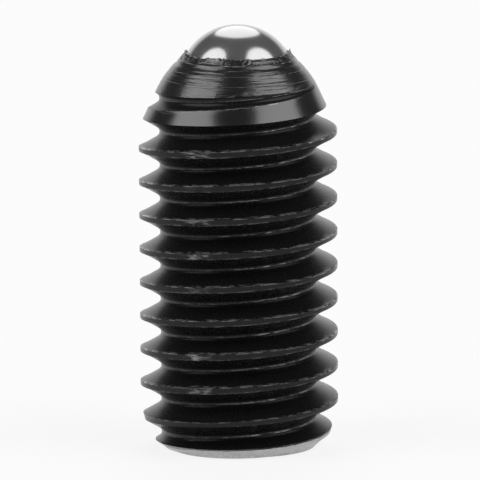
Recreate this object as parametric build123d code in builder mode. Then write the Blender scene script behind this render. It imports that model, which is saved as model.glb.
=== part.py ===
"""Ball spring plunger: a headless M6 screw whose domed nose holds a sprung steel ball.

The threaded body is one turned and threaded steel piece. Its nose end is bored out for the
spring and the ball, and the thin lip left round the bore is rolled over the ball to hold it in.
Its other end has a hexagon socket for the key. The spring stands on the drill point of the bore
and presses the ball up against the lip, from which a cap of the ball stands proud.

Millimetres. +Z runs up the screw's axis to the ball, and the origin is the centre of the flat
end that has the socket.
"""

from build123d import *

import os
from math import radians, sqrt, tan

# ---- driving dimensions ------------------------------------------------------------------

# external thread, right-handed
thread_diameter = 5.87  # over the crests
thread_pitch = 1.0
thread_angle = 60.0  # between the flanks
crest_flat = 0.08
root_flat = 0.2
first_crest_height = 0.414  # of the first crest, where it crosses the +X side
groove_overrun = 0.03  # how far the flanks of the cutter reach past the crests

# socket end
body_length = 11.75  # flat end to the rim of the rolled lip
end_face_inset = 0.13  # rim of the flat end inside the root of the thread
first_turn_loss = 0.25  # how far the chamfer cuts the first crest below full diameter
end_chamfer_angle = 56.0  # slope of the chamfer, measured from the axis
lead_in_length = 1.3  # height at which the crests have reached full diameter

# nose
lip_land = 0.035  # thickness of the rolled lip at its rim
nose_angle = 45.0  # slope of the nose beside the ball, measured from the axis
shoulder_angle = 25.0  # slope of the nose where the thread runs out on it
nose_width = 0.645  # of the steeper cone beside the ball, on the radius
nose_blend_radius = 3.4  # turned radius that joins the two cones

# hexagon socket, with the hole that is drilled before it is broached
socket_across_flats = 3.0
socket_depth = 2.2
countersink_margin = 0.07  # rim of the countersink outside the hexagon's corners
pilot_inset = 0.05  # wall of the pilot hole inside the hexagon's flats
pilot_run_out = 0.4  # straight depth of the pilot hole past the hexagon
drill_point_angle = 118.0

# ball and its bore
ball_diameter = 3.5
ball_clearance = 0.05  # between the ball and the bore, on the radius
seat_clearance = 0.04  # left between the parts that press on each other
lip_height = 0.98  # rim of the lip above the centre of the seat that is rolled round the ball
web_thickness = 0.65  # between the tips of the bore's and the pilot's drill points

# spring
wire_diameter = 0.45
spring_clearance = 0.2  # between the coils and the bore, on the radius
wire_sides = 12  # flats of the wire's section, with their corners on the round of the wire
active_turns = 3
closed_turns = 1  # at each end
closed_gap = 0.03  # between the turns of a closed end

# ---- sizes worked out from them ----------------------------------------------------------

thread_radius = thread_diameter / 2
flank_slope = tan(radians(thread_angle / 2))
thread_depth = (thread_pitch - crest_flat - root_flat) / 2 / flank_slope
root_radius = thread_radius - thread_depth

end_radius = root_radius - end_face_inset
first_turn_radius = thread_radius - first_turn_loss
end_chamfer_height = (first_turn_radius - end_radius) / tan(radians(end_chamfer_angle))

drill_slope = 1 / tan(radians(drill_point_angle / 2))
mouth_radius = socket_across_flats / sqrt(3) + countersink_margin
pilot_radius = socket_across_flats / 2 - pilot_inset
pilot_depth = socket_depth + pilot_run_out
pilot_tip_height = pilot_depth + pilot_radius * drill_slope

ball_radius = ball_diameter / 2
bore_radius = ball_radius + ball_clearance
bore_tip_height = pilot_tip_height + web_thickness
bore_floor_height = bore_tip_height + bore_radius * drill_slope
seat_centre_height = body_length - lip_height
lip_inner_radius = sqrt(bore_radius**2 - lip_height**2)
lip_outer_radius = lip_inner_radius + lip_land
ball_centre_height = body_length - sqrt(ball_radius**2 - lip_inner_radius**2) - seat_clearance

shoulder_radius = lip_outer_radius + nose_width
shoulder_height = body_length - (shoulder_radius - lip_outer_radius) / tan(radians(nose_angle))
full_thread_height = shoulder_height - (thread_radius - shoulder_radius) / tan(
    radians(shoulder_angle)
)

# the spring's first turn lies on the bore's drill point, and its last one carries the ball
wire_radius = wire_diameter / 2
coil_radius = bore_radius - spring_clearance - wire_radius
closed_pitch = wire_diameter + closed_gap
closed_rise = closed_turns * closed_pitch
coil_start_height = (
    bore_floor_height
    - (bore_radius - coil_radius) * drill_slope
    + wire_radius * sqrt(1 + drill_slope**2)
    + seat_clearance
)
coil_end_height = (
    ball_centre_height - sqrt((ball_radius + wire_radius) ** 2 - coil_radius**2) - seat_clearance
)
active_rise = coil_end_height - coil_start_height - 2 * closed_rise

# ---- threaded body -----------------------------------------------------------------------

# One turn of the thread's groove, to be cut turn after turn. Its section is drawn in the plane
# of the axis. Above the crests its sides run straight out, so that turns never meet there.
groove_turns = round(body_length / thread_pitch) + 1
groove_height = first_crest_height - 1.5 * thread_pitch
groove_half_mouth = (thread_pitch - crest_flat) / 2 + groove_overrun * flank_slope
groove_mouth_radius = thread_radius + groove_overrun
groove_outer_radius = groove_mouth_radius + groove_overrun

with BuildPart() as groove_turn:
    with BuildLine():
        groove_path = Helix(
            thread_pitch, thread_pitch, root_radius, center=(0, 0, groove_height)
        )
    with BuildSketch(Plane.XZ):
        with BuildLine():
            Polyline(
                (root_radius, groove_height - root_flat / 2),
                (groove_mouth_radius, groove_height - groove_half_mouth),
                (groove_outer_radius, groove_height - groove_half_mouth),
                (groove_outer_radius, groove_height + groove_half_mouth),
                (groove_mouth_radius, groove_height + groove_half_mouth),
                (root_radius, groove_height + root_flat / 2),
                close=True,
            )
        make_face()
    sweep(path=groove_path, is_frenet=True)

with BuildPart() as body:
    # turned blank, half section: socket mouth, outside up to the lip, then down the bore
    with BuildSketch(Plane.XZ):
        with BuildLine():
            FilletPolyline(
                (pilot_radius, mouth_radius - pilot_radius),
                (mouth_radius, 0),
                (end_radius, 0),
                (first_turn_radius, end_chamfer_height),
                (thread_radius, lead_in_length),
                (thread_radius, full_thread_height),
                (shoulder_radius, shoulder_height),
                (lip_outer_radius, body_length),
                (lip_inner_radius, body_length),
                radius=[0, 0, 0, 0, 0, nose_blend_radius, 0],
            )
            RadiusArc(
                (lip_inner_radius, body_length),
                (bore_radius, seat_centre_height),
                bore_radius,
            )
            Polyline(
                (bore_radius, seat_centre_height),
                (bore_radius, bore_floor_height),
                (0, bore_tip_height),
                (0, pilot_tip_height),
                (pilot_radius, pilot_depth),
                (pilot_radius, mouth_radius - pilot_radius),
            )
        make_face()
    revolve(axis=Axis.Z)
    with BuildSketch(Plane.XY):
        RegularPolygon(socket_across_flats / 2, 6, major_radius=False)
    extrude(amount=socket_depth, mode=Mode.SUBTRACT)
    with Locations(*[(0, 0, turn * thread_pitch) for turn in range(groove_turns)]):
        add(groove_turn.part, mode=Mode.SUBTRACT)

body.part.label = "body"

# ---- ball --------------------------------------------------------------------------------

with BuildPart() as ball:
    with Locations((0, 0, ball_centre_height)):
        Sphere(ball_radius)

ball.part.label = "ball"

# ---- spring ------------------------------------------------------------------------------

# Closed turns at each end and open turns between them. The wire's section is drawn in the
# plane of the axis, where one stretch of the coil ends and the next begins.
coil_stretches = [
    (closed_pitch, closed_rise),
    (active_rise / active_turns, active_rise),
    (closed_pitch, closed_rise),
]

with BuildPart() as spring:
    stretch_height = coil_start_height
    for stretch_pitch, stretch_rise in coil_stretches:
        with BuildLine():
            coil = Helix(
                stretch_pitch, stretch_rise, coil_radius, center=(0, 0, stretch_height)
            )
        with BuildSketch(Plane.XZ):
            with Locations((coil_radius, stretch_height)):
                RegularPolygon(wire_radius, wire_sides)
        sweep(path=coil, is_frenet=True)
        stretch_height += stretch_rise

spring.part.label = "spring"

# ---- files -------------------------------------------------------------------------------

os.makedirs("parts", exist_ok=True)
export_step(body.part, "parts/body.step")
export_step(ball.part, "parts/ball.step")
export_step(spring.part, "parts/spring.step")
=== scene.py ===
"""Ball spring plunger, standing on the flat end of its threaded body.

The visual model follows the plunger as it is put together: the threaded body is turned,
threaded and blackened, the spring and the ball are dropped into its bore, and the lip of the
bore is rolled over the ball. Shapes are worked out in millimetres and scaled to metres.
"""

import bmesh
import bpy
import numpy as np
from math import atan2, cos, pi, radians, sin, sqrt, tan
from mathutils import Matrix, Vector, noise


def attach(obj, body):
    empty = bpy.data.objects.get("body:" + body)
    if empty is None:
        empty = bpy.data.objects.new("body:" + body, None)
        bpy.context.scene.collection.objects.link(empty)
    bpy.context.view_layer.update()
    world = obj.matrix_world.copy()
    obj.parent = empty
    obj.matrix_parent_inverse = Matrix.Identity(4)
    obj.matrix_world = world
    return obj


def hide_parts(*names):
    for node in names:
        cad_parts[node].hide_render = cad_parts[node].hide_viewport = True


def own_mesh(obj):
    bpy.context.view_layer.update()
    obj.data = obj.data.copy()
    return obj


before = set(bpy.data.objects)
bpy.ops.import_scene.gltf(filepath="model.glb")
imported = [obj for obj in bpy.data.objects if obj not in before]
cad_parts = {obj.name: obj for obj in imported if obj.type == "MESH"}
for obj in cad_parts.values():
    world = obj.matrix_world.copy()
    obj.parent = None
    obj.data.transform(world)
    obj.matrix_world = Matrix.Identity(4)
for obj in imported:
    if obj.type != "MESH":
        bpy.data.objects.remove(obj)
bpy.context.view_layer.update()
mm = 0.001

# ---- Studio ------------------------------------------------------------------------------
# The plunger stands on a plain white sweep. The camera has a long lens and looks down a
# little, and three soft boxes stand round it: one each side in front and one behind.

camera_height = radians(9.6)
camera_lean = radians(0.36)
camera_distance = 0.239
picture_width = 14.196 * mm
aim = Vector((0.046 * mm, 0, 6.146 * mm))
away = Vector((0, -cos(camera_height), sin(camera_height)))

camera = bpy.data.objects.new("camera", bpy.data.cameras.new("camera"))
camera.data.lens = camera.data.sensor_width * camera_distance / picture_width
camera.data.clip_start = 0.01
camera.data.clip_end = 5
camera.location = aim + away * camera_distance
camera.rotation_mode = "QUATERNION"
lean = Matrix.Rotation(camera_lean, 3, away).to_quaternion()
camera.rotation_quaternion = lean.inverted() @ (-away).to_track_quat("-Z", "Y")
bpy.context.collection.objects.link(camera)
bpy.context.scene.camera = camera
bpy.context.scene.view_settings.view_transform = "Standard"


def maths(tree, operation, *values):
    """Math node, whose values are numbers or the outputs of other nodes."""
    node = tree.nodes.new("ShaderNodeMath")
    node.operation = operation
    for socket, value in zip(node.inputs, values):
        if isinstance(value, float):
            socket.default_value = value
        else:
            tree.links.new(value, socket)
    return node.outputs[0]


floor_mesh = bpy.data.meshes.new("floor")
floor_mesh.from_pydata([(-1, -1, 0), (1, -1, 0), (1, 1, 0), (-1, 1, 0)], [], [(0, 1, 2, 3)])
floor = bpy.data.objects.new("floor", floor_mesh)
bpy.context.collection.objects.link(floor)

floor_white = 0.94
share_of_clean_white = 0.84
floor_paint = bpy.data.materials.new("floor_paint")
floor_paint.use_nodes = True
tree = floor_paint.node_tree
paint = tree.nodes["Principled BSDF"]
paint.inputs["Base Color"].default_value = (floor_white, floor_white, floor_white, 1)
paint.inputs["Roughness"].default_value = 0.9
paint.inputs["Specular IOR Level"].default_value = 0.0
# seen straight on or mirrored in the steel, the floor is a clean white with a lighter shadow
rays = tree.nodes.new("ShaderNodeLightPath")
seen = maths(tree, "MAXIMUM", rays.outputs["Is Camera Ray"], rays.outputs["Is Glossy Ray"])
seen = maths(tree, "MAXIMUM", seen, rays.outputs["Is Transmission Ray"])
white = tree.nodes.new("ShaderNodeEmission")
white.inputs["Strength"].default_value = 1.0
top = tree.nodes.new("ShaderNodeMixShader")
tree.links.new(maths(tree, "MULTIPLY", seen, share_of_clean_white), top.inputs[0])
tree.links.new(paint.outputs[0], top.inputs[1])
tree.links.new(white.outputs[0], top.inputs[2])
# from underneath it is clear, so that the socket end can be looked at
clear = tree.nodes.new("ShaderNodeBsdfTransparent")
side = tree.nodes.new("ShaderNodeNewGeometry")
either = tree.nodes.new("ShaderNodeMixShader")
tree.links.new(side.outputs["Backfacing"], either.inputs[0])
tree.links.new(top.outputs[0], either.inputs[1])
tree.links.new(clear.outputs[0], either.inputs[2])
tree.links.new(either.outputs[0], tree.nodes["Material Output"].inputs["Surface"])
floor_mesh.materials.append(floor_paint)

# the room: the white sweep goes up behind the plunger, and the rest is a dim grey
room_grey = 0.09
sweep_narrows = 1.6
sweep_ends = 0.65
room = bpy.data.worlds.new("room")
room.use_nodes = True
tree = room.node_tree
sky = tree.nodes.new("ShaderNodeTexCoord")
parts = tree.nodes.new("ShaderNodeSeparateXYZ")
tree.links.new(sky.outputs["Generated"], parts.inputs[0])
round_side = maths(tree, "MULTIPLY_ADD", parts.outputs["Y"], -sweep_narrows, sweep_narrows)
off_sweep = maths(tree, "MULTIPLY_ADD", parts.outputs["Z"], sweep_ends, round_side)
fades = tree.nodes.new("ShaderNodeValToRGB")
fades.color_ramp.interpolation = "EASE"
fades.color_ramp.elements[0].position = 0.3
fades.color_ramp.elements[0].color = (1, 1, 1, 1)
fades.color_ramp.elements[1].position = 0.7
fades.color_ramp.elements[1].color = (room_grey, room_grey, room_grey, 1)
tree.links.new(off_sweep, fades.inputs[0])
tree.links.new(fades.outputs[0], tree.nodes["Background"].inputs["Color"])
tree.nodes["Background"].inputs["Strength"].default_value = 1.0
bpy.context.scene.world = room


def soft_box(name, azimuth, elevation, width, height, brightness):
    """Round soft box facing the plunger from so many degrees round from the camera and up."""
    lamp = bpy.data.objects.new(name, bpy.data.lights.new(name, "AREA"))
    distance = 0.6
    a, e = radians(azimuth), radians(elevation)
    out = Vector((sin(a) * cos(e), -cos(a) * cos(e), sin(e)))
    lamp.location = aim + out * distance
    lamp.rotation_mode = "QUATERNION"
    lamp.rotation_quaternion = out.to_track_quat("Z", "Y")
    lamp.data.shape = "ELLIPSE"
    lamp.data.size = 2 * distance * tan(radians(width / 2))
    lamp.data.size_y = 2 * distance * tan(radians(height / 2))
    lamp.data.energy = brightness * pi * pi / 4 * lamp.data.size * lamp.data.size_y
    lamp.visible_camera = False
    bpy.context.collection.objects.link(lamp)


soft_box("soft_box_left", azimuth=-70, elevation=42, width=51, height=50, brightness=2.08)
soft_box("soft_box_right", azimuth=66, elevation=43, width=56, height=50, brightness=2.1)
soft_box("soft_box_back", azimuth=180, elevation=47, width=38, height=50, brightness=1.95)

# ---- Threaded body -----------------------------------------------------------------------
# Free-cutting steel bar, turned to a domed nose, threaded M6 by a die and blackened. The nose
# is bored for the spring and the ball, and the thin lip left round the bore is rolled over.
# The rear end is faced and chamfered last, so it is bare, and has a broached hexagon socket.

pitch = 1.0
crest_radius = 2.931
root_radius = 2.312
crest_half = 0.04
widest_crest_half = 0.45
flank_slope = tan(radians(30))
first_crest = 0.414

end_radius = 2.1815
first_turn_radius = 2.685
chamfer_height = 0.3396
bare_height = 0.46
lead_in_height = 1.3
shoulder_radius = 2.19
shoulder_height = 11.105
shoulder_cone = tan(radians(25))
nose_cone = tan(radians(45))
full_thread_ends = 9.7
thread_runs_out = 10.97

socket_half_width = 1.5
socket_depth = 2.2
socket_mouth_radius = 1.802
socket_land = 0.048
pilot_radius = 1.45
pilot_depth = 2.6
pilot_point = 3.471

lip_radius = 1.512
lip_height = 11.748
seat_height = 10.77
bore_radius = 1.8
bore_bottom = 5.2
bore_point = 4.12

columns = 300
sharp_from = radians(38)


def soft_minimum(a, b, blend):
    """The lesser of two values, rounded where they are nearly the same."""
    share = np.clip(0.5 + 0.5 * (b - a) / blend, 0, 1)
    return b * (1 - share) + a * share - blend * share * (1 - share)


def outline(z):
    """Radius of the turned blank at height z: chamfer, worn first turns, full thread, nose."""
    low = np.interp(
        z, [0, chamfer_height, lead_in_height], [end_radius, first_turn_radius, crest_radius]
    )
    thread_end = shoulder_radius + (shoulder_height - z) * shoulder_cone
    tip = shoulder_radius + (shoulder_height - z) * nose_cone
    return np.minimum(low, np.minimum(soft_minimum(thread_end, tip, 0.22), crest_radius))


def groove(u):
    """Radius of the thread's groove, u away from the middle of a crest."""
    flank = crest_radius - (u - crest_half) / flank_slope
    return -soft_minimum(-flank, -root_radius, 0.13)


def crest_edge(middle, way):
    """Distance from the middle of a crest to its edge, above (way 1) or below it (way -1)."""
    near, far = np.full_like(middle, crest_half), np.full_like(middle, pitch / 2)
    for _ in range(24):
        u = (near + far) / 2
        on_blank = outline(middle + way * u) < groove(u)
        near, far = np.where(on_blank, u, near), np.where(on_blank, far, u)
    return np.minimum(near, widest_crest_half)


def ripple(turns, scale, seed):
    """Smooth unevenness, -1 to 1, along the thread: the same at every build."""
    flat = turns.ravel() * scale
    return np.array([noise.noise(Vector((t, seed, 0.5 * seed))) for t in flat]).reshape(
        turns.shape
    )


def patch(x, at, width):
    """How near x is to a place, from 1 at the place to 0 well away from it."""
    return np.exp(-(((x - at) / width) ** 2))


turns_of_rows = 13
windings = np.arange(columns)[:, None] / columns + np.arange(turns_of_rows)[None, :]
part_turn = windings % 1
middles = first_crest + pitch * (windings - 1)
below, above = crest_edge(middles, -1), crest_edge(middles, 1)

# the die rolls a fine burr along full crests, and chattered a little at one place in each turn
full = np.clip((outline(middles) - crest_radius) / 0.05 + 1, 0, 1)
burr = full * (0.5 + 0.5 * ripple(windings, 37.0, 3.0))
wander = 0.010 * full * ripple(windings, 23.0, 11.0)
chatter = patch(part_turn, 0.675, 0.012) + 0.6 * patch(part_turn, 0.697, 0.006)
chatter *= full * np.clip(ripple(windings, 1.3, 5.0) * 3 + 0.8, 0, 1)
# and it tore the bottom of the groove a little further on, and the crest under the nose
torn_groove = patch(part_turn, 0.83, 0.065) * np.clip(1 + ripple(windings, 2.7, 8.0), 0.3, 1.5)
torn_crest = patch(windings, 11.8, 0.07) * np.clip(0.5 + ripple(windings, 60.0, 13.0), 0, 1.5)
# the blank ran a little out of true, so the crest is wider on one side
wide = 0.02 + 0.03 * np.clip(np.cos(2 * pi * (windings - 0.7)), 0, 1) ** 2
wide = full * (wide + 0.004 * ripple(windings, 15, 2))
# the chamfer left bare steel up to just below the first groove; on the left side the black is
# carried further down over it as painted shade, standing in for the darker reflection at that
# end
painted_shade_side = np.clip((-np.cos(2 * pi * (windings - 0.03)) - 0.72) / 0.2, 0, 1)
black_edge = above - 0.05 - 0.012 * ripple(windings, 70.0, 27.0) - 0.4 * painted_shade_side * above
# the black is off in specks along that edge, and where the end crests have been snagged
specks = np.clip(0.4 + 1.6 * ripple(windings, 90.0, 31.0), 0, 1) * (middles < 1) * (1 - full)
snagged = np.clip(2 * ripple(windings, 4.0, 21.0), 0, 1) * (1 - full)


def cut(u, raised=0.0):
    """Radius of the threaded blank, u above the middle of a crest, with metal thrown up."""
    return np.minimum(groove(np.abs(u)) + raised, outline(middles + u))


def flank_rows(way, edge):
    """Rows up one flank, from the middle of the groove to near the crest's edge."""
    rows = []
    for share in (0.0, 0.08, 0.22, 0.4, 0.64, 0.84):
        u = way * (pitch / 2 - share * (pitch / 2 - edge))
        bottom = max(0.0, 1 - share / 0.08)
        torn = 0.012 * bottom * torn_groove * ripple(windings, 110.0, 17.0 + 9 * share)
        rows.append((u, cut(u) + torn, np.clip(bottom * (0.25 + 1.6 * torn_groove), 0, 1)))
    return rows


# One turn of rows, from the middle of a groove up to the middle of the next. Each row is a
# height above the middle of the crest, a radius, and how worn it is.
rows = flank_rows(-1, below + wide + 0.04 * full + 0.01)
u = -(below + wide + 0.014 * full + 0.002)
rows.append((u, cut(u, 0.03 * full), np.clip((0.75 - middles - u) / 0.2, 0, 1) * (1 - full)))
first_on_crest = len(rows)
u = -below - wide + 0.3 * wander + 0.03 * torn_crest
r = outline(middles + u) - 0.006 * full - 0.01 * chatter
rows.append((u, r, 0.3 * full + np.clip(torn_crest, 0, 1)))
for u in (-0.5 * (below + wide), 0.0 * above, 0.5 * (above + wide)):
    rows.append((u, outline(middles + u) - 0.003 - 0.03 * chatter, 0.7 * chatter))
u = np.where(full > 0.5, above + wide - 0.02, np.maximum(black_edge, 0.55 * (above + wide)))
rows.append((u, outline(middles + u) - 0.003 * full - 0.03 * chatter, specks + 0.7 * chatter))
last_on_crest = len(rows)
u = above + wide + 0.2 * wander + 0.02 * chatter - 0.01 * full
r = outline(middles + u) - 0.004 - 0.02 * chatter
rows.append((u, r, 0.2 * full + 0.8 * snagged))
u = u + 0.01 * full + 0.002
r = np.minimum(outline(middles + u) - 0.002 * full, crest_radius + 0.003 * burr)
rows.append((u, r, full))
u = u + 0.014 * full + 0.002
rows.append((u, cut(u, 0.04 * full), 0.6 * full))
u = u + 0.02 * full + 0.002
rows.append((u, cut(u, 0.016 * full), 0.0 * full))
rows.extend(flank_rows(1, above + wide + 0.06 * full + 0.01)[:0:-1])

per_turn = len(rows)
z_grid = np.stack([middles + u for u, r, worn in rows], axis=2).reshape(columns, -1)
r_grid = np.stack([r for u, r, worn in rows], axis=2).reshape(columns, -1)
worn_grid = np.stack([worn for u, r, worn in rows], axis=2).reshape(columns, -1)
r_grid = np.minimum(r_grid, crest_radius + 0.003)

skin = bmesh.new()
wear = skin.verts.layers.float.new("wear")
crest = skin.verts.layers.float.new("crest")
turned = skin.verts.layers.float.new("turned")
grid = []
for i in range(columns):
    a = 2 * pi * i / columns
    column = []
    for j in range(per_turn * turns_of_rows):
        turn, row = divmod(j, per_turn)
        r, z = r_grid[i, j], z_grid[i, j]
        v = skin.verts.new((r * cos(a), r * sin(a), z))
        v[wear] = worn_grid[i, j]
        # on the crest of the thread, or anywhere that no groove is cut
        first, last = 0, per_turn
        if below[i, turn] < widest_crest_half:
            first = first_on_crest - (full[i, turn] < 0.5)
        if above[i, turn] < widest_crest_half:
            last = last_on_crest - (z < 1)
        v[crest] = first <= row <= last
        v[turned] = min(1.0, max(0.0, (windings[i, turn] - 11.1) / 0.4, 1.3 - z))
        column.append(v)
    grid.append(column)
# going once round, each row meets the row that is one turn higher
for i in range(columns):
    here = grid[i]
    there = grid[i + 1] if i + 1 < columns else grid[0][per_turn:]
    for j in range(len(there) - 1):
        skin.faces.new((here[j], there[j], there[j + 1], here[j + 1]))


def cut_through(height, way=1, clear=False):
    """Cuts the mesh at a height, and clears what is past it if that is asked for."""
    bmesh.ops.bisect_plane(
        skin,
        geom=skin.verts[:] + skin.edges[:] + skin.faces[:],
        plane_co=(0, 0, height),
        plane_no=(0, 0, way),
        clear_outer=clear,
    )


def cut_off(height, way):
    """Faces the mesh off at a height and returns the rim that is left."""
    cut_through(height, way, clear=True)
    return [
        e
        for e in skin.edges
        if e.is_boundary and all(abs(v.co.z - height) < 1e-4 for v in e.verts)
    ]


def next_ring(rim, radius, z, worn=0.0):
    """Carries the mesh on from its rim to a ring whose radius and height may vary round it."""
    made = bmesh.ops.extrude_edge_only(skin, edges=rim)["geom"]
    for v in (g for g in made if isinstance(g, bmesh.types.BMVert)):
        a = atan2(v.co.y, v.co.x)
        r = radius(a) if callable(radius) else radius
        v.co = (r * cos(a), r * sin(a), z(a) if callable(z) else z)
        v[wear] = worn(a) if callable(worn) else worn
        v[crest] = 0
        v[turned] = 1
    return [g for g in made if isinstance(g, bmesh.types.BMEdge) and g.is_boundary]


def hexagon(a):
    """Distance from the axis to the wall of the hexagon socket."""
    return socket_half_width / cos((a % (pi / 3)) - pi / 6)


# the black ends in a clean line at the top of the chamfer
cut_through(bare_height)

# rear end: faced flat, countersunk, drilled and broached
rim = cut_off(0.0, -1)
rim = next_ring(rim, socket_mouth_radius + socket_land, 0.0)
rim = next_ring(rim, socket_mouth_radius, 0.0)
rim = next_ring(rim, hexagon, lambda a: socket_mouth_radius - hexagon(a))
rim = next_ring(rim, hexagon, socket_depth)
rim = next_ring(rim, pilot_radius, socket_depth)
rim = next_ring(rim, pilot_radius, pilot_depth)
rim = next_ring(rim, 0.0, pilot_point)


def nose_ring(z, proud):
    """Radius of the turned nose at height z, uneven all round, with a ridge standing proud."""
    hollow = 0.026 * patch(z, 11.475, 0.045) + 0.008 * patch(z, 11.23, 0.02)

    def radius(a):
        here = Vector((cos(a), sin(a), 0))
        uneven = 0.004 * noise.noise(2 * here + Vector((0, 0, 19 * z))) - hollow
        return float(outline(z)) + uneven + proud * (0.8 + 0.8 * noise.noise(here * 4))

    return radius


def torn_lip(a):
    """How far the torn edge of the rolled lip stands up: fine teeth, a tongue, rough places."""
    here = Vector((cos(a), sin(a), 0))
    teeth = max(0.0, noise.noise(here * 11 + Vector((3, 1, 4))) + 0.2)
    fine = 0.5 + 1.2 * noise.noise(here * 37)
    tongue = max(0.0, 1 - ((a % (2 * pi) - 4.29) / 0.24) ** 2)
    rough = sum(max(0.0, 1 - abs((a - at + pi) % (2 * pi) - pi) / 0.3) for at in (3.25, 6.17))
    return min(0.1, 0.09 * teeth * fine + 0.035 * tongue + 0.07 * rough * (0.8 + fine))


def rolled(middle, seed):
    """Radius left by the rolling of the lip, rough all round."""

    def radius(a):
        here = Vector((cos(a), sin(a), 0))
        waves = 0.02 * noise.noise(here * 9 + Vector((seed, 0, 0)))
        return middle + waves + 0.026 * noise.noise(here * 31 + Vector((0, seed, 0)))

    return radius


def patchy(a):
    """Where the black has come off the rolled lip, with less of it towards +x, so the lip is
    darker on that side.
    """
    here = Vector((cos(a), sin(a), 2))
    return min(1.0, max(0.0, 1.1 * noise.noise(here * 6) - 0.1 * cos(a)))


# nose: turned with a fine feed, so that it has a ridge here and there
rim = cut_off(thread_runs_out, 1)
feed = 0.0128
for k in range(1, 49):
    z = thread_runs_out + feed * k
    ridge = k % 21 == 5
    rim = next_ring(rim, nose_ring(z, 0.009 if ridge else -0.002), z, 0.35 if ridge else 0.0)
# lip: rolled inwards, which bulged it and tore its edge
for seed, (z, bulge) in enumerate(((11.62, -0.004), (11.66, 0.004), (11.70, 0.006)), 1):
    rim = next_ring(rim, rolled(float(outline(z)) + bulge, seed), z, patchy)
rim = next_ring(
    rim, rolled(lip_radius + 0.045, 4), lambda a: lip_height - 0.018 + 0.5 * torn_lip(a), patchy
)
for inward, drawn_in, raised in ((0.028, 0.2, 1.0), (0.015, 0.1, 0.9)):
    rim = next_ring(
        rim,
        lambda a: lip_radius + inward + drawn_in * torn_lip(a),
        lambda a: lip_height + raised * torn_lip(a),
        1.0,
    )
rim = next_ring(rim, lip_radius, lip_height - 0.008, 0.7)
# bore: the round seat under the lip, then straight down to its drill point
for k in range(1, 6):
    above_seat = (lip_height - 0.008 - seat_height) * (1 - k / 5)
    rim = next_ring(rim, sqrt(bore_radius**2 - above_seat**2), seat_height + above_seat)
rim = next_ring(rim, bore_radius, bore_bottom)
rim = next_ring(rim, 0.0, bore_point)

bmesh.ops.remove_doubles(skin, verts=skin.verts, dist=1e-5)
bmesh.ops.recalc_face_normals(skin, faces=skin.faces)
for f in skin.faces:
    f.smooth = True
    middle = f.calc_center_median()
    on_blank = all(v[crest] > 0.99 for v in f.verts)
    faced = middle.z < 1e-3 or on_blank and middle.z < bare_height
    in_socket = middle.z < pilot_point and middle.xy.length < socket_mouth_radius
    if faced or in_socket:
        f.material_index = 2
    elif on_blank and middle.z > full_thread_ends or middle.z > thread_runs_out:
        f.material_index = 1
skin.transform(Matrix.Scale(mm, 4))
body_mesh = bpy.data.meshes.new("threaded_body")
skin.to_mesh(body_mesh)
skin.free()
body_mesh.set_sharp_from_angle(angle=sharp_from)
threaded_body = bpy.data.objects.new("threaded_body", body_mesh)
bpy.context.collection.objects.link(threaded_body)
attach(threaded_body, "screw")
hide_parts("body")


def new_group(name, wanted, given):
    """Shader group that makes the wanted value from a given one, and its two inner sockets."""
    group = bpy.data.node_groups.new(name, "ShaderNodeTree")
    label, value = given
    socket = group.interface.new_socket(label, in_out="INPUT", socket_type="NodeSocketFloat")
    socket.default_value = value
    group.interface.new_socket(wanted, in_out="OUTPUT", socket_type="NodeSocketFloat")
    source, result = group.nodes.new("NodeGroupInput"), group.nodes.new("NodeGroupOutput")
    return group, source.outputs[label], result.inputs[wanted]


def vector_maths(tree, operation, *values):
    """Vector maths node, whose values are vectors or the outputs of other nodes."""
    node = tree.nodes.new("ShaderNodeVectorMath")
    node.operation = operation
    for socket, value in zip(node.inputs, values):
        if isinstance(value, tuple):
            socket.default_value = value
        else:
            tree.links.new(value, socket)
    return node.outputs[0]


def noise_per_mm(tree, place, per_mm, detail, roughness):
    """Noise with so many grains to the millimetre, from 0 to 1."""
    node = tree.nodes.new("ShaderNodeTexNoise")
    node.inputs["Detail"].default_value = detail
    node.inputs["Roughness"].default_value = roughness
    tree.links.new(place, node.inputs["Vector"])
    tree.links.new(maths(tree, "MULTIPLY", per_mm, 1000.0), node.inputs["Scale"])
    return node.outputs["Fac"]


def vertex_value(tree, name):
    """A value that the mesh carries on its vertices."""
    node = tree.nodes.new("ShaderNodeAttribute")
    node.attribute_name = name
    return node.outputs["Fac"]


# Turning marks: fine rings round the axis that come and go on the way round. They follow height
# and radius together, so that they run round cones, cylinders and flat ends alike.
outward = 0.37
turning, per_mm, result = new_group("turning_marks", "Height", ("Marks per mm", 14.0))
place = turning.nodes.new("ShaderNodeTexCoord")
split = turning.nodes.new("ShaderNodeSeparateXYZ")
flat = turning.nodes.new("ShaderNodeCombineXYZ")
upward = turning.nodes.new("ShaderNodeCombineXYZ")
spoke = turning.nodes.new("ShaderNodeVectorMath")
spoke.operation = "LENGTH"
turning.links.new(place.outputs["Object"], split.inputs[0])
turning.links.new(split.outputs["X"], flat.inputs["X"])
turning.links.new(split.outputs["Y"], flat.inputs["Y"])
turning.links.new(flat.outputs[0], spoke.inputs[0])
along = maths(turning, "MULTIPLY_ADD", spoke.outputs["Value"], outward, split.outputs["Z"])
turning.links.new(along, upward.inputs["Z"])
slow_round = vector_maths(turning, "MULTIPLY", flat.outputs[0], (0.04, 0.04, 0.04))
where = vector_maths(turning, "ADD", slow_round, upward.outputs[0])
rings = noise_per_mm(turning, where, per_mm, detail=3.0, roughness=0.6)
turning.links.new(maths(turning, "MULTIPLY", rings, vertex_value(turning, "turned")), result)

# Grain: the fine unevenness that etching and handling leave, as a value from 0 to 1.
grain, per_mm, result = new_group("steel_grain", "Value", ("Grains per mm", 12.0))
place = grain.nodes.new("ShaderNodeTexCoord")
specks = noise_per_mm(grain, place.outputs["Object"], per_mm, detail=4.0, roughness=0.65)
grain.links.new(specks, result)

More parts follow.
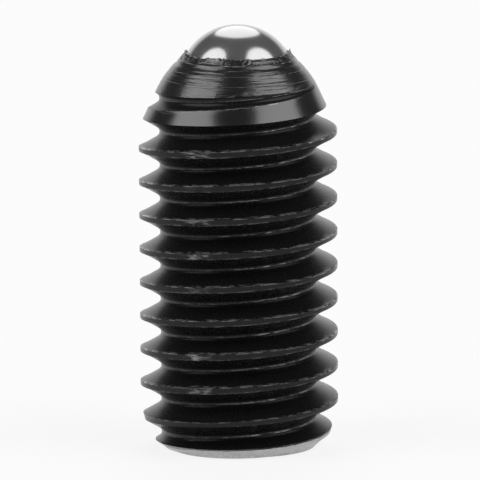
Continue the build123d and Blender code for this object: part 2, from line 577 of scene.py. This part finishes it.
# Worn edges: crest edges and the torn lip, where the black is rubbed through in broken lines.
edges, per_mm, result = new_group("worn_edges", "Mask", ("Breaks per mm", 3.0))
place = edges.nodes.new("ShaderNodeTexCoord")
drawn_out = vector_maths(edges, "MULTIPLY", place.outputs["Object"], (0.22, 0.22, 1.4))
rubbed_through = edges.nodes.new("ShaderNodeMapRange")
rubbed_through.inputs["From Min"].default_value = 0.46
rubbed_through.inputs["From Max"].default_value = 0.6
breaks = noise_per_mm(edges, drawn_out, per_mm, detail=4.0, roughness=0.7)
edges.links.new(breaks, rubbed_through.inputs["Value"])
worn = maths(edges, "MULTIPLY", vertex_value(edges, "wear"), rubbed_through.outputs[0])
edges.links.new(worn, result)


def new_steel(name):
    """A material, its tree and its shader."""
    material = bpy.data.materials.new(name)
    material.use_nodes = True
    return material, material.node_tree, material.node_tree.nodes["Principled BSDF"]


def from_group(tree, group, per_mm):
    """Puts a shared group into a material, at so many marks, grains or breaks per mm."""
    node = tree.nodes.new("ShaderNodeGroup")
    node.node_tree = group
    node.inputs[0].default_value = per_mm
    return node.outputs[0]


def between(tree, factor, low, high):
    """A value that goes from low to high as factor goes from 0 to 1."""
    node = tree.nodes.new("ShaderNodeMapRange")
    node.inputs["To Min"].default_value = low
    node.inputs["To Max"].default_value = high
    tree.links.new(factor, node.inputs["Value"])
    return node.outputs[0]


def mixed(tree, factor, first, second):
    """A colour that goes from the first to the second as factor goes from 0 to 1."""
    node = tree.nodes.new("ShaderNodeMix")
    node.data_type = "RGBA"
    # the node's colours are its sockets 6 and 7, and the colour it makes is its output 2
    node.inputs[6].default_value = (*first, 1)
    node.inputs[7].default_value = (*second, 1)
    tree.links.new(factor, node.inputs[0])
    return node.outputs[2]


def bump(tree, height, depth, base=None):
    """Bump of a depth in millimetres, from a height of 0 to 1, on top of any other."""
    node = tree.nodes.new("ShaderNodeBump")
    node.inputs["Strength"].default_value = 1.0
    node.inputs["Distance"].default_value = depth * mm
    tree.links.new(height, node.inputs["Height"])
    if base:
        tree.links.new(base, node.inputs["Normal"])
    return node.outputs[0]


def black_oxide(name, black, ior, marks_depth, smoothest, roughest):
    """Steel blackened in hot salts: a thin dark oxide that shows each mark of the cutting."""
    material, tree, steel = new_steel(name)
    marks = from_group(tree, turning, 14.0)
    specks = from_group(tree, grain, 16.0)
    rubbed = from_group(tree, edges, 13.0)
    oxide, rubbed_steel = (black, black, 1.05 * black), (0.46, 0.46, 0.465)
    colour = mixed(tree, rubbed, oxide, rubbed_steel)
    roughness = between(tree, specks, smoothest, roughest)
    relief = bump(tree, marks, marks_depth)
    relief = bump(tree, rubbed, 0.005, relief)
    relief = bump(tree, specks, 0.0009, relief)
    steel.inputs["IOR"].default_value = ior
    tree.links.new(colour, steel.inputs["Base Color"])
    tree.links.new(rubbed, steel.inputs["Metallic"])
    tree.links.new(roughness, steel.inputs["Roughness"])
    tree.links.new(relief, steel.inputs["Normal"])
    return material


black_thread = black_oxide(
    "black_oxide_thread", black=0.0085, ior=1.3, marks_depth=0.002, smoothest=0.2, roughest=0.34
)
black_nose = black_oxide(
    "black_oxide_nose", black=0.005, ior=1.9, marks_depth=0.034, smoothest=0.16, roughest=0.28
)

# bare steel, as the facing and chamfering tools left it
bare_steel, tree, steel = new_steel("bare_steel")
marks = from_group(tree, turning, 22.0)
colour = mixed(tree, from_group(tree, grain, 10.0), (0.18, 0.18, 0.18), (0.62, 0.62, 0.61))
steel.inputs["Metallic"].default_value = 1.0
tree.links.new(colour, steel.inputs["Base Color"])
tree.links.new(between(tree, marks, 0.25, 0.5), steel.inputs["Roughness"])
tree.links.new(bump(tree, marks, 0.004), steel.inputs["Normal"])

body_mesh.materials.append(black_thread)
body_mesh.materials.append(black_nose)
body_mesh.materials.append(bare_steel)

# ---- Spring ------------------------------------------------------------------------------
# Hard-drawn steel wire, coiled with a closed turn at each end. It stands on the drill point of
# the bore and presses the ball against the lip. In the real plunger its coils close up as the
# ball goes in; here the coil is drawn at one length.

wire_radius = 0.225
coil_radius = 1.375
coil_bottom = 5.25
coil_top = 9.367
closed_pitch = 0.48
open_turns = 3
points_per_turn = 40

spring_curve = bpy.data.curves.new("spring", "CURVE")
spring_curve.dimensions = "3D"
spring_curve.bevel_depth = wire_radius * mm
spring_curve.bevel_resolution = 4
spring_curve.use_fill_caps = True
all_turns = open_turns + 2
coil = spring_curve.splines.new("POLY")
coil.points.add(all_turns * points_per_turn)
for k, point in enumerate(coil.points):
    turn = k / points_per_turn
    z = np.interp(
        turn,
        [0, 1, 1 + open_turns, all_turns],
        [coil_bottom, coil_bottom + closed_pitch, coil_top - closed_pitch, coil_top],
    )
    a = 2 * pi * turn
    point.co = (coil_radius * cos(a) * mm, coil_radius * sin(a) * mm, z * mm, 1)
drawn = bpy.data.objects.new("spring_curve", spring_curve)
bpy.context.collection.objects.link(drawn)
bpy.context.view_layer.update()
spring_mesh = bpy.data.meshes.new_from_object(drawn)
bpy.data.objects.remove(drawn)
for f in spring_mesh.polygons:
    f.use_smooth = True
spring_mesh.set_sharp_from_angle(angle=radians(40))
spring = bpy.data.objects.new("coil_spring", spring_mesh)
bpy.context.collection.objects.link(spring)
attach(spring, "screw")
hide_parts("spring")
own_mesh(spring)

drawn_wire, tree, steel = new_steel("spring_steel")
specks = from_group(tree, grain, 20.0)
steel.inputs["Metallic"].default_value = 1.0
tree.links.new(
    mixed(tree, specks, (0.3, 0.3, 0.31), (0.5, 0.5, 0.5)), steel.inputs["Base Color"]
)
tree.links.new(between(tree, specks, 0.22, 0.4), steel.inputs["Roughness"])
tree.links.new(bump(tree, specks, 0.002), steel.inputs["Normal"])
# It is out of sight at every pose.
spring_mesh.materials.clear()
spring_mesh.materials.append(drawn_wire)

# ---- Ball --------------------------------------------------------------------------------
# Hardened bearing ball, 3.5 mm across, ground and polished. It sits loose in the bore, held
# against the rolled lip by the spring, with about a quarter of its width standing out.

ball_radius = 1.75
ball_height = 10.825

ball_skin = bmesh.new()
bmesh.ops.create_icosphere(ball_skin, subdivisions=6, radius=ball_radius * mm)
for f in ball_skin.faces:
    f.smooth = True
ball_mesh = bpy.data.meshes.new("ball")
ball_skin.transform(Matrix.Translation((0, 0, ball_height * mm)))
ball_skin.to_mesh(ball_mesh)
ball_skin.free()
ball = bpy.data.objects.new("steel_ball", ball_mesh)
bpy.context.collection.objects.link(ball)
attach(ball, "plunger")
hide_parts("ball")

polished, tree, steel = new_steel("polished_steel")
specks = from_group(tree, grain, 3.0)
steel.inputs["Metallic"].default_value = 0.85
tree.links.new(
    mixed(tree, specks, (0.39, 0.39, 0.395), (0.46, 0.46, 0.46)), steel.inputs["Base Color"]
)
tree.links.new(between(tree, specks, 0.13, 0.2), steel.inputs["Roughness"])
tree.links.new(bump(tree, specks, 0.001), steel.inputs["Normal"])
ball_mesh.materials.append(polished)
